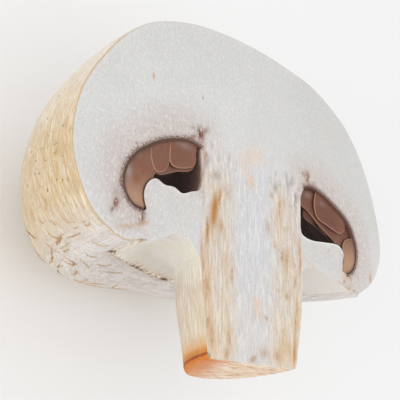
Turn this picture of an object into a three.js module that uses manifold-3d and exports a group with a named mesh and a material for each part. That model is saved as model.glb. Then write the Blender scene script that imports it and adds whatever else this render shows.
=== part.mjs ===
// Half a button mushroom, cut lengthways through cap and stem, lying on the round back of its cap
// with the cut face up. Millimetres. X runs across the cap, +Y along the stem towards the crown of
// the cap, +Z up out of the cut face. The origin is on the surface it lies on, at the middle of the
// outline seen from above.
//
// The mushroom is first modelled whole about its stem, in its own axes: x to the right of the cut
// face, y towards the crown, z out of the cut face. The knife then takes the near half away.
import * as THREE from "three";
import { mergeVertices } from "three/addons/utils/BufferGeometryUtils.js";
import Module from "manifold-3d";

const wasm = await Module();
wasm.setup();

// Driving dimensions
const capRadius = 25;
const crownHeight = 12.5; // the crown above the mushroom's own centre
const stemEndHeight = -22.1; // the trimmed end of the stem, at the cut face
const stemEndSlant = 0.16; // the trim is not square: it runs longer towards the back
const stemEndRounding = 0.45;
const restingFlat = 0.6; // depth of the small flat that the cap has pressed itself against the surface
const bladeThickness = 0.6;
const bladeCount = 43; // in the half ring
const bedThickness = 0.45; // brown layer that the gills grow from
const growthGap = 0.35; // clearance between the brown layer and the flesh

// How finely each stretch of an outline is faceted, and the half ring round the stem
const facets = { cap: 24, margin: 4, veil: 9, stem: 6, roof: 15, gillRoot: 14, gillEdge: 11, halfRing: 48 };

// Outlines are lists of [distance from the stem's axis, height], as cut on the left and on the right.
const capLeft = [
  [0, crownHeight], [6, 12.2], [12, 11], [17.2, 8.6], [21.2, 4.7], [24.1, 0.1],
  [capRadius, -4.8], [24.2, -8], [22.4, -10.8], [19.7, -12.5],
];
const capRight = [
  [0, crownHeight], [6, 12.2], [12, 11.2], [17.5, 8.6], [21.2, 4.9], [23.8, 0],
  [capRadius, -5.5], [24.1, -8.6], [22.2, -10.9], [19.4, -12.4],
];
const stemLeft = [[8.45, -14.2], [8.2, -17], [7.75, -20.4]];
const stemRight = [[8.05, -12.6], [7.7, -16.4], [6.9, -20.2]];
const stemEndRadius = { left: 7.5, right: 6.6 };
const marginUnderside = 12.75; // depth of the cap's rolled margin below the centre, just inside its rim

// The torn edge of the veil, where it meets the cap's margin: a flap at the left, and wide on the right
const torn = { radius: 14, height: -11.9, flap: 2.4, flapDrop: 0.75, right: 3.6, rightDrop: 0.4, waves: 0.18 };
const tornStep = 0.5; // how deep the veil's edge sits in the crease beside the margin
const veilArch = -11; // the hollow underside of the veil, between its torn edge and the stem
const veilFlare = { left: 1, right: 0.15 }; // how far the veil spreads from the stem like a trumpet

// The back of a cap is never quite round
const backSkew = 0.026; // how far it leans over to the right, as a share of its radius
const backFlattening = 0.0035; // how much the radius falls for each millimetre down the cap's side
const backRipple = 0.007; // swellings up the back, as a share of the radius
const marginSag = { left: 0.7, right: 0.25 }; // how much lower the margin hangs towards the back

// The chamber under the cap that the gills hang in
const chamberRoof = [
  [8.6, -1.6], [10.2, -0.9], [12.4, -1.15], [14.5, -1.85], [16.3, -2.9], [17.8, -4.1],
  [18.85, -5.5], [19.3, -7], [19.05, -8.4], [18.1, -9.6], [16.7, -10.1],
];
const chamberFloor = { left: -6.5, right: -7.3 }; // upper face of the veil that closes the chamber
const veilWall = 15.75; // where that veil turns down to meet the cap's margin
const chamberStemSide = 8.3;

// Free edge of a full gill, from its end by the stem to its tip in the margin
const gillEdge = [
  [8.95, -2.9], [9.3, -3.7], [10.4, -4.2], [12, -4.5], [13.8, -5], [15.3, -5.9], [16.3, -7.4], [16.35, -9.5],
];
const gillDeepening = { left: 0, right: 1.1 }; // how much further the gills hang on each side
const gillTipLength = 1.6; // the tips stay where they are over this distance
const gillCorner = 0.45; // chamfer at the inner end of a gill
// Gills come in several lengths. Each reaches in to one of these distances from the axis, in turn.
const innerReach = [14.6, 12.2, 8.95, 13.4];

const rightShare = (angle) => (1 - Math.cos(angle)) / 2; // 0 at the left of the cut face, 1 at the right
const blend = (left, right, angle) => left + (right - left) * rightShare(angle);
const blendPoint = (left, right, angle) => [
  blend(left[0], right[0], angle),
  blend(left[1], right[1], angle),
];

function smooth(points, count) {
  const curve = new THREE.CatmullRomCurve3(
    points.map(([radius, height]) => new THREE.Vector3(radius, height, 0)),
    false,
    "centripetal",
  );
  return curve.getSpacedPoints(count).map((p) => [Math.max(p.x, 0), p.y]);
}

// A point at a distance from the stem's axis, at an angle from the left of the cut face towards the back
const around = ([radius, height], angle) => [
  -radius * Math.cos(angle),
  height,
  -radius * Math.sin(angle),
];

// Nothing changes at the cut face itself, where the angle is 0 or a half turn.
function lumps([radius, height], angle) {
  const onCap = THREE.MathUtils.smoothstep(radius, 8, 18);
  const onMargin = THREE.MathUtils.smoothstep(radius, 14, 19) * THREE.MathUtils.smoothstep(-height, 4, 11);
  const lean = backSkew * Math.sin(2 * angle) * onCap * (1 - onMargin);
  const shoulder = backFlattening * (THREE.MathUtils.clamp(height, -9, 3) * onCap - 0.6);
  const ripple = backRipple * Math.sin(5 * angle + 0.16 * height);
  const sag = blend(marginSag.left, marginSag.right, angle) * Math.abs(Math.sin(2 * angle));
  return [
    radius * (1 - lean + Math.sin(angle) ** 2 * (ripple + shoulder)),
    height - sag * onMargin,
  ];
}

function tornEdge(angle) {
  const flap = Math.max(0, Math.cos(angle - 0.25)) ** 8;
  const toRight = Math.max(0, -Math.cos(angle)) ** 3;
  return [
    torn.radius + torn.flap * flap + torn.right * toRight + torn.waves * Math.sin(9 * angle),
    torn.height - torn.flapDrop * flap - torn.rightDrop * toRight,
  ];
}

function bodyOutline(angle) {
  const cap = smooth(
    capLeft.map((point, i) => blendPoint(point, capRight[i], angle)),
    facets.cap,
  );
  const rim = cap.at(-1);
  const [tearRadius, tearHeight] = tornEdge(angle);
  const margin = smooth(
    [rim, [(rim[0] + tearRadius) / 2 + 0.6, -marginUnderside], [tearRadius + 0.4, tearHeight + 0.25]],
    facets.margin,
  ).slice(1);
  const crease = [tearRadius + 0.12, tearHeight + tornStep];
  const flare = blend(veilFlare.left, veilFlare.right, angle);
  const stem = stemLeft.map((point, i) => blendPoint(point, stemRight[i], angle));
  const neck = stem[0][0];
  const veil = smooth(
    [
      [tearRadius, tearHeight - 0.2],
      [tearRadius - 1.1, tearHeight + 0.4],
      [(tearRadius + neck) / 2, veilArch],
      [neck + 0.35 + 1.2 * flare, veilArch + 0.1 - 0.5 * flare],
      [neck + 0.2 * flare, veilArch - 0.2 - 1.6 * flare],
    ],
    facets.veil,
  );
  const endRadius = blend(stemEndRadius.left, stemEndRadius.right, angle);
  const endHeight = stemEndHeight - stemEndSlant * endRadius * Math.sin(angle);
  const side = smooth([...stem, [endRadius, endHeight + stemEndRounding]], facets.stem);
  const end = [
    [endRadius - stemEndRounding * 0.3, endHeight + stemEndRounding * 0.3],
    [endRadius - stemEndRounding, endHeight],
    [0, stemEndHeight],
  ];
  return [...cap, ...margin, crease, ...veil, ...side, ...end].map((point) => lumps(point, angle));
}

function chamberOutline(angle) {
  const floor = blend(chamberFloor.left, chamberFloor.right, angle);
  return [
    ...smooth(chamberRoof, facets.roof),
    [veilWall + 0.1, -9.7],
    [veilWall - 0.05, -8.4],
    [veilWall - 0.3, floor - 0.5],
    [veilWall - 1.3, floor + 0.05],
    [12, floor - 0.15],
    [9.6, floor - 0.05],
    [chamberStemSide + 0.15, floor + 0.5],
    [chamberStemSide, -3.8],
    [chamberStemSide - 0.2, -2.05],
  ];
}

// The chamber's roof, moved in by a distance: the layer and the gills follow it
function roofOffset(distance) {
  const roof = smooth(chamberRoof, facets.gillRoot);
  return roof.map(([radius, height], i) => {
    const before = roof[Math.max(i - 1, 0)];
    const after = roof[Math.min(i + 1, facets.gillRoot)];
    const run = [after[0] - before[0], after[1] - before[1]];
    const length = Math.hypot(...run);
    return [radius + (run[1] / length) * distance, height - (run[0] / length) * distance];
  });
}

function bedOutline() {
  const upper = roofOffset(growthGap);
  const lower = roofOffset(growthGap + bedThickness).slice(1, -1).reverse();
  return [...upper.slice(0, -1), ...lower];
}

function bladeOutline(reach, angle) {
  const root = roofOffset(growthGap + bedThickness / 2).slice(0, -1);
  const deepening = blend(gillDeepening.left, gillDeepening.right, angle);
  const edge = smooth(gillEdge, facets.gillEdge).map(([radius, height]) => [
    radius,
    height - deepening * THREE.MathUtils.smoothstep(gillEdge.at(-1)[0] - radius, 0, gillTipLength),
  ]);
  const crossing = (line) => {
    const i = line.findIndex(([radius]) => radius >= reach);
    if (i < 1) return line[0];
    const [a, b] = [line[i - 1], line[i]];
    const share = (reach - a[0]) / (b[0] - a[0]);
    return [reach, a[1] + (b[1] - a[1]) * share];
  };
  const beyond = (line) => line.filter(([radius], i) => radius > reach + 0.25 || i > line.length / 2);
  const inner = reach <= gillEdge[0][0] ? [root[0], edge[0]] : [crossing(root), crossing(edge)];
  const corner = [inner[1][0], inner[1][1] + gillCorner];
  return [inner[0], ...beyond(root), ...beyond(edge).reverse(), corner];
}

function solidOf(geometry) {
  const bare = geometry.index ? geometry.toNonIndexed() : geometry.clone();
  bare.deleteAttribute("normal");
  bare.deleteAttribute("uv");
  const merged = mergeVertices(bare, 1e-4);
  return new wasm.Manifold(
    new wasm.Mesh({
      numProp: 3,
      vertProperties: merged.attributes.position.array,
      triVerts: new Uint32Array(merged.index.array),
    }),
  );
}

function geometryOf(solid) {
  const mesh = solid.getMesh();
  const geometry = new THREE.BufferGeometry();
  geometry.setAttribute("position", new THREE.BufferAttribute(mesh.vertProperties, 3));
  geometry.setIndex(new THREE.BufferAttribute(mesh.triVerts, 1));
  geometry.computeVertexNormals();
  return geometry;
}

function meshGeometry(points, faces) {
  const geometry = new THREE.BufferGeometry();
  geometry.setAttribute("position", new THREE.Float32BufferAttribute(points.flat(), 3));
  geometry.setIndex(faces.flat());
  return geometry;
}

// Full turns about the stem's axis. The facets straddle the cut, so that no edge lies in it.
const turns = facets.halfRing * 2;
const turnAngle = (j) => ((j + 0.5) * 2 * Math.PI) / turns;

// A body of revolution whose outline runs from the axis back to the axis
function turnedBody(outlineAt) {
  const points = [];
  const faces = [];
  let rows = 0;
  for (let j = 0; j < turns; j++) {
    const outline = outlineAt(turnAngle(j)).slice(1, -1);
    rows = outline.length;
    points.push(...outline.map((point) => around(point, turnAngle(j))));
  }
  const top = points.length;
  points.push(around(outlineAt(0)[0], 0), around(outlineAt(0).at(-1), 0));
  for (let j = 0; j < turns; j++) {
    const here = j * rows;
    const next = ((j + 1) % turns) * rows;
    faces.push([top, next, here], [top + 1, here + rows - 1, next + rows - 1]);
    for (let i = 0; i < rows - 1; i++) {
      faces.push([here + i, next + i, next + i + 1], [here + i, next + i + 1, here + i + 1]);
    }
  }
  return solidOf(meshGeometry(points, faces));
}

// A ring whose section is a closed outline
function turnedRing(outlineAt) {
  const points = [];
  const faces = [];
  let rows = 0;
  for (let j = 0; j < turns; j++) {
    const outline = outlineAt(turnAngle(j));
    rows = outline.length;
    points.push(...outline.map((point) => around(point, turnAngle(j))));
  }
  for (let j = 0; j < turns; j++) {
    const here = j * rows;
    const next = ((j + 1) % turns) * rows;
    for (let i = 0; i < rows; i++) {
      const k = (i + 1) % rows;
      faces.push([here + i, next + i, next + k], [here + i, next + k, here + k]);
    }
  }
  return solidOf(meshGeometry(points, faces));
}

function blade(reach, angle) {
  const shape = new THREE.Shape(bladeOutline(reach, angle).map(([x, y]) => new THREE.Vector2(x, y)));
  const geometry = new THREE.ExtrudeGeometry(shape, { depth: bladeThickness, bevelEnabled: false });
  geometry.translate(0, 0, -bladeThickness / 2);
  geometry.rotateY(Math.PI - angle);
  return solidOf(geometry);
}

function slab(width, zLow, zHigh) {
  const box = new THREE.BoxGeometry(width, width, zHigh - zLow);
  box.translate(0, 0, (zLow + zHigh) / 2);
  return solidOf(box);
}

const beyondKnife = slab(4 * capRadius, 0, 2 * capRadius);

function flesh() {
  const belowSurface = slab(4 * capRadius, -2 * capRadius, restingFlat - backDepth());
  return turnedBody(bodyOutline)
    .subtract(turnedRing(chamberOutline))
    .subtract(beyondKnife)
    .subtract(belowSurface);
}

// Depth of the cap behind the cut face, where it is deepest
function backDepth() {
  const depths = [];
  for (let j = 0; j < facets.halfRing; j++) {
    const points = bodyOutline(turnAngle(j)).map((point) => around(point, turnAngle(j)));
    depths.push(...points.map((point) => -point[2]));
  }
  return Math.max(...depths);
}

function gills() {
  let fan = turnedRing(bedOutline);
  for (let k = 0; k < bladeCount; k++) {
    const angle = ((k + 0.5) * Math.PI) / bladeCount;
    fan = fan.add(blade(innerReach[k % innerReach.length], angle));
  }
  return fan.subtract(beyondKnife);
}

const fleshColour = new THREE.MeshStandardMaterial({ color: 0xe6dfd6, roughness: 0.75, metalness: 0 });
const gillColour = new THREE.MeshStandardMaterial({ color: 0x8a5c48, roughness: 0.7, metalness: 0 });

function named(name, solid, material) {
  const mesh = new THREE.Mesh(geometryOf(solid), material);
  mesh.name = name;
  return mesh;
}

const mushroom = new THREE.Group();
mushroom.add(named("mushroom_flesh", flesh(), fleshColour), named("gills", gills(), gillColour));
const outline = new THREE.Box3().setFromObject(mushroom);
const middle = outline.getCenter(new THREE.Vector3());
mushroom.position.set(-middle.x, -middle.y, -outline.min.z);

export default mushroom;
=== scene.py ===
# Half a button mushroom, cut lengthways, lying on the round back of its cap with the cut face up.
# Its shape is worked out in millimetres in the mushroom's own axes: x across the cut face, y along
# the stem towards the crown of the cap, z out of the cut face, with the stem's axis at x = z = 0.
# toScene() turns that into the frame's metres.
import math

import bpy
import numpy as np
from mathutils import Matrix, Vector, geometry, noise


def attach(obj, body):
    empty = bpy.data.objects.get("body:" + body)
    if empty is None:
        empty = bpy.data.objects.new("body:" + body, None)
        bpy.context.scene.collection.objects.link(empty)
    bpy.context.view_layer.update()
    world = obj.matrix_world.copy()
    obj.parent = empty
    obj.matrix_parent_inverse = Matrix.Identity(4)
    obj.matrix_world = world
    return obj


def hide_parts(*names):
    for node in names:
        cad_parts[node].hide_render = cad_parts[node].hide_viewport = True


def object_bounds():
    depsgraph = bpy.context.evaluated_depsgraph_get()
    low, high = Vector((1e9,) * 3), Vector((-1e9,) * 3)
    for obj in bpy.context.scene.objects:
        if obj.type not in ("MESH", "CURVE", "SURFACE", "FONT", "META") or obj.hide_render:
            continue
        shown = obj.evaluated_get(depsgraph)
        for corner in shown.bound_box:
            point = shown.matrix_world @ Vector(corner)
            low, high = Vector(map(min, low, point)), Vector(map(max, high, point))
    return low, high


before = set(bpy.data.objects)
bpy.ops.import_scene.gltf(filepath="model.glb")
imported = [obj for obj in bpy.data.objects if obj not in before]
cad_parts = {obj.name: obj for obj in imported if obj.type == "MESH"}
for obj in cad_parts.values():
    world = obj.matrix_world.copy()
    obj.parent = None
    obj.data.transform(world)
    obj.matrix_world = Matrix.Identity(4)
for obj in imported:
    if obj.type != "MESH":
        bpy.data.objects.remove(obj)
cadLow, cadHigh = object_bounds()
mm = 0.001
print("frame loaded:", ", ".join(sorted(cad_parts)))

# The whole mushroom, in millimetres. Outlines are [distance from the stem's axis, height].
shape = dict(
    crown=12.5,
    capLeft=[(0, 12.5), (6, 12.2), (12, 11), (17.2, 8.6), (21.2, 4.7), (24.1, 0.1),
             (25, -4.8), (24.2, -8), (22.4, -10.8), (19.7, -12.5)],
    capRight=[(0, 12.5), (6, 12.2), (12, 11.2), (17.5, 8.6), (21.2, 4.9), (23.8, 0),
              (25, -5.5), (24.1, -8.6), (22.2, -10.9), (19.4, -12.4)],
    marginUnderside=-12.75,
    marginSag=1.0,            # how much lower the margin hangs at the back left
    backSkew=0.026,           # how far the back leans to the right, as a share of the radius
    shoulders=0.0035, waves=0.007,  # how uneven the back is, as shares of the radius
    rightFlare=0.15,          # how much of the left's flare the stem's top has on the right
    stemLeft=[(8.45, -14.2), (8.2, -17), (7.75, -20.4)],
    stemRight=[(8.05, -12.6), (7.7, -16.4), (6.9, -20.2)],
    stemEndRadius=(7.5, 6.6),  # left, right
    stemEnd=-22.1,
    stemEndSlant=0.16,
    stemEndRounding=0.45,
    # how far from the axis the veil has torn off the margin, by the angle from the left in radians
    torn=[(0, 15.75), (0.08, 16.15), (0.16, 16.35), (0.27, 16.3), (0.4, 15.2), (0.55, 14.3), (0.75, 13.6),
          (0.95, 13.2), (1.2, 13), (1.4, 13.3), (1.65, 13.8), (2, 13.5), (2.4, 14.6), (2.8, 16.4),
          (3.1416, 17.6)],
    tornHeight=-11.9,
    tornDrop=(0.75, 0.4),     # how much lower it hangs at the flap on the left, and on the right
    tornRaggedness=0.14,
    # the chamber that the gills hang in, left and right: where the gills are rooted, and the rest of its wall
    roof=([(8.6, -1.4), (10.2, -1.15), (12.1, -1.5), (14, -2.15), (16, -3.25), (17.5, -4.35),
           (18.5, -5.6), (18.95, -7.1), (18.65, -8.4), (17.7, -9.35), (16.3, -9.65)],
          [(8.9, -1.5), (10.2, -1.15), (12.5, -1.5), (14.7, -2.3), (16.7, -3.2), (18.1, -4.2),
           (19, -5.5), (19.45, -7.1), (19.2, -8.6), (18.5, -9.7), (17.2, -10.4)]),
    below=([(15.95, -9.35), (16.3, -8.3), (16.2, -7.5), (15.7, -6.7), (14.8, -6.2), (13.7, -6.55),
            (12.3, -6.5), (11.35, -6.85), (9.9, -6.35), (8.85, -5.95), (8.4, -4.7), (8.6, -2.4)],
           [(16.1, -10.1), (16.3, -8.9), (16.55, -7.9), (15.7, -7.2), (14.4, -7.1), (13.4, -7.2),
            (12, -7.35), (10.4, -7.5), (9, -7.4), (8.1, -7), (8, -5), (8.1, -2.8)]),
    undercut=0.45,            # how far the wall steps back behind the knife's cut
    gillEdge=[(8.95, -2.9), (9.3, -3.7), (10.4, -4.2), (12, -4.5), (13.8, -5), (15.3, -5.9),
              (16.3, -7.4), (16.35, -9.3)],
    gillDeepening=(0, 1.1),   # left, right
    chamberMiddle=(14, -6),
)


def smoothStep(value, low, high):
    t = np.clip((np.asarray(value, float) - low) / (high - low), 0, 1)
    return t * t * (3 - 2 * t)


def smoothLine(points, count):
    # an even run of count + 1 points on a centripetal curve through the points
    p = np.array(points, float)
    p = np.vstack([2 * p[0] - p[1], p, 2 * p[-1] - p[-2]])
    run = []
    for a, b, c, d in zip(p[:-3], p[1:-2], p[2:-1], p[3:]):
        t1 = np.linalg.norm(b - a) ** 0.5
        t2 = t1 + np.linalg.norm(c - b) ** 0.5
        t3 = t2 + np.linalg.norm(d - c) ** 0.5
        t = np.linspace(t1, t2, 24, endpoint=False)[:, None]
        ab = a * (t1 - t) / t1 + b * t / t1
        bc = b * (t2 - t) / (t2 - t1) + c * (t - t1) / (t2 - t1)
        cd = c * (t3 - t) / (t3 - t2) + d * (t - t2) / (t3 - t2)
        abc = ab * (t2 - t) / t2 + bc * t / t2
        bcd = bc * (t3 - t) / (t3 - t1) + cd * (t - t1) / (t3 - t1)
        run.append(abc * (t2 - t) / (t2 - t1) + bcd * (t - t1) / (t2 - t1))
    run = np.vstack(run + [p[-2:-1]])
    length = np.concatenate([[0], np.cumsum(np.linalg.norm(np.diff(run, axis=0), axis=1))])
    even = np.linspace(0, length[-1], count + 1)
    return np.stack([np.interp(even, length, run[:, k]) for k in range(run.shape[1])], 1)


def rightShare(angle):
    # 0 at the left of the cut face, 1 at the right
    return (1 - math.cos(angle)) / 2


def across(pair, angle):
    # a number or an outline at that angle, from its left and right ones
    left, right = np.array(pair[0], float), np.array(pair[1], float)
    return left + (right - left) * rightShare(angle)


def around(outline, angle):
    # an outline turned about the stem's axis, from the left (0) by the back to the right (pi)
    radius, height = outline[:, 0], outline[:, 1]
    return np.stack([-radius * math.cos(angle), height, -radius * math.sin(angle)], 1)


middleHeight = shape["crown"] * mm - cadHigh.y  # the frame's origin, in the mushroom's axes


def toScene(points):
    return np.asarray(points, float) * mm + [0, -middleHeight, cadHigh.z]


def keepWithin(points):
    # no wider than the solids, flat where the half rests and at the cut
    widest = cadHigh.x / mm - 0.0005
    points[..., 0] = np.clip(points[..., 0], -widest, widest)
    points[..., 2] = np.clip(points[..., 2], -outside["restFlat"], 0)
    return points


tornLine = smoothLine(shape["torn"], 90)


def tornEdge(angle):
    # the torn edge of the veil, as radius and height: a flap at the left, and low on the right
    flap = max(0, math.cos(angle - 0.25)) ** 8
    toRight = max(0, -math.cos(angle)) ** 3
    drop = shape["tornDrop"]
    ragged = shape["tornRaggedness"] * noise.noise(Vector((angle * 14, 1.7, 0)))
    radius = np.interp(angle, tornLine[:, 0], tornLine[:, 1]) + ragged * math.sin(angle)
    return radius, shape["tornHeight"] - drop[0] * flap - drop[1] * toRight


# points along each stretch of the outline
rowCounts = dict(cap=118, margin=24, lip=1, veil=36, side=40, end=12)


def bodyOutline(angle):
    # from the crown over the cap and under its margin to the torn edge, then along the veil, down the
    # stem and across its end
    cap = smoothLine(across((shape["capLeft"], shape["capRight"]), angle), rowCounts["cap"])
    rim = cap[-1]
    torn, lip = tornEdge(angle)
    under = [rim, ((rim[0] + torn) / 2 + 0.6, shape["marginUnderside"]), (torn + 0.4, lip + 0.25)]
    margin = smoothLine(under, rowCounts["margin"])[1:]
    flare = across((1, shape["rightFlare"]), angle)
    stem = across((shape["stemLeft"], shape["stemRight"]), angle)
    veil = smoothLine([
        (torn, lip), (torn - 1.1, lip + 0.4), ((torn + stem[0][0]) / 2, -11),
        (stem[0][0] + 1.2 * flare + 0.35, -10.9 - 0.5 * flare),
        (stem[0][0] + 0.2 * flare, -11.2 - 1.6 * flare)], rowCounts["veil"])
    endRadius = across(shape["stemEndRadius"], angle)
    rounding = shape["stemEndRounding"]
    endHeight = shape["stemEnd"] - shape["stemEndSlant"] * endRadius * math.sin(angle)
    side = smoothLine([*stem, (endRadius, endHeight + rounding)], rowCounts["side"])
    inwards = np.linspace(0, 1, rowCounts["end"])
    rounded = endRadius - rounding - (endRadius - rounding) * inwards
    end = np.stack([rounded, shape["stemEnd"] - shape["stemEndSlant"] * rounded * math.sin(angle)], 1)
    corner = [(endRadius - rounding * 0.3, endHeight + rounding * 0.3)]
    return np.vstack([cap, margin, [(torn + 0.1, lip + 0.32)], veil, side, corner, end])


def lumps(outline, angle):
    # the outline as grown: skewed and wavy behind the cut, with the margin hanging lower there
    radius, height = outline[:, 0], outline[:, 1]
    onCap = smoothStep(radius, 8, 18)
    onMargin = smoothStep(radius, 14, 19) * smoothStep(-height, 4, 11)
    lean = shape["backSkew"] * math.sin(2 * angle) * onCap * (1 - onMargin)
    shoulder = shape["shoulders"] * (np.clip(height, -9, 3) * onCap - 0.6)
    waves = shape["waves"] * np.sin(5 * angle + 0.16 * height)
    swell = math.sin(angle) ** 2 * (waves + shoulder)
    sag = shape["marginSag"] * abs(math.sin(2 * angle)) * (1 - 0.65 * rightShare(angle)) * onMargin
    return np.stack([radius * (1 - lean + swell), height - sag], 1)


def roofLine(angle, count=40):
    return smoothLine(across(shape["roof"], angle), count)


def chamberOutline(angle):
    # the gill chamber's roof, then its floor and the stem's side
    below = across(shape["below"], angle)
    depth = 16 * math.sin(angle)
    below[:5, 0] -= shape["undercut"] * smoothStep(depth, 0.05, 0.25)
    return np.vstack([roofLine(angle), smoothLine(below, 44)])


# A surface is made of regions that meet edge to edge. Each has its own finish, and the numbers that
# its material reads are kept at the face corners, so that they don't run over a cut edge.
def joinRegions(name, regions, materials):
    points = np.vstack([r["points"] for r in regions])
    rounded = np.round(points * 1e4).astype(np.int64)
    firstOf, place = np.unique(rounded, axis=0, return_index=True, return_inverse=True)[1:]
    place = place.ravel()
    faces, finish, corners, offset = [], [], [], 0
    for region in regions:
        chosen = region["finish"]
        for k, face in enumerate(region["faces"]):
            kept = []
            for corner in face:
                if not kept or place[corner + offset] not in [place[c] for c in kept]:
                    kept.append(corner + offset)
            if len(kept) < 3:
                continue
            faces.append([int(place[c]) for c in kept])
            corners += kept
            finish.append(chosen if isinstance(chosen, int) else int(chosen[k]))
        offset += len(region["points"])
    mesh = bpy.data.meshes.new(name)
    mesh.from_pydata(toScene(points[firstOf]).tolist(), [], faces)
    for material in materials:
        mesh.materials.append(material)
    mesh.polygons.foreach_set("material_index", finish)
    for valueName in sorted({key for r in regions for key in r["values"]}):
        sample = next(r["values"][valueName] for r in regions if valueName in r["values"])
        isVector = np.ndim(sample) == 2
        blank = [np.zeros((len(r["points"]), 3) if isVector else len(r["points"])) for r in regions]
        full = np.concatenate([r["values"].get(valueName, b) for r, b in zip(regions, blank)])
        attribute = mesh.attributes.new(valueName, "FLOAT_VECTOR" if isVector else "FLOAT", "CORNER")
        attribute.data.foreach_set("vector" if isVector else "value", full[corners].ravel())
    softenFaces(mesh)
    piece = bpy.data.objects.new(name, mesh)
    bpy.context.collection.objects.link(piece)
    return piece


def softenFaces(mesh):
    # smooth everywhere but where two finishes meet
    mesh.polygons.foreach_set("use_smooth", [True] * len(mesh.polygons))
    finishOfEdge, sharp = {}, set()
    for polygon in mesh.polygons:
        for key in polygon.edge_keys:
            if finishOfEdge.setdefault(key, polygon.material_index) != polygon.material_index:
                sharp.add(key)
    edges = mesh.attributes.new("sharp_edge", "BOOLEAN", "EDGE")
    edges.data.foreach_set("value", [tuple(sorted(e.vertices)) in sharp for e in mesh.edges])


def gridFaces(columns, rows):
    # quads between neighbouring columns of rows points each, facing out for outlines run crown to end
    return [(j * rows + i, (j + 1) * rows + i, (j + 1) * rows + i + 1, j * rows + i + 1)
            for j in range(columns - 1) for i in range(rows - 1)]


def roughness(points, size, seed=0.0):
    # smooth random heights, about -1 to 1, with lumps of the given size along each axis, in mm
    scaled = np.asarray(points, float) / np.asarray(size, float) + seed
    return np.array([noise.noise(Vector(p)) for p in scaled])


def marks(places, x, y):
    # each mark is (x, y, half width, half height, turn in degrees, strength)
    total = np.zeros(len(x))
    for cx, cy, halfWidth, halfHeight, turn, strength in places:
        c, s = math.cos(math.radians(turn)), math.sin(math.radians(turn))
        u = ((x - cx) * c + (y - cy) * s) / halfWidth
        v = (-(x - cx) * s + (y - cy) * c) / halfHeight
        total = np.maximum(total, strength * np.exp(-1.2 * (u * u + v * v)))
    return total


finishes = ["cutFlesh", "capSkin", "stemSkin", "trimmedEnd", "chamberWall", "tornScale"]

outside = dict(
    columns=241, crowding=0.38,      # how much closer the columns stand at the left than at the right
    dents=0.12, dentSize=7,          # mm
    fibrils=0.035, fibrilSize=(0.5, 5),  # across and along the cap, mm
    restFlat=cadHigh.z / mm,         # how far below the cut face the flat spot lies
    # dark spots along the veil's torn edge: angle in radians, half width in radians, strength
    tornSpots=[(0.0, 0.03, 0.5), (0.283, 0.017, 1.6), (0.4, 0.03, 0.35), (0.55, 0.03, 0.5),
               (0.68, 0.02, 0.6), (0.8, 0.03, 0.5), (0.9, 0.04, 1), (1.0, 0.035, 2), (1.12, 0.05, 0.9),
               (1.3, 0.03, 0.45), (1.42, 0.025, 0.6),
               (1.56, 0.05, 2), (1.95, 0.05, 0.6), (2.3, 0.03, 0.9), (2.75, 0.06, 0.7)],
)


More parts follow.
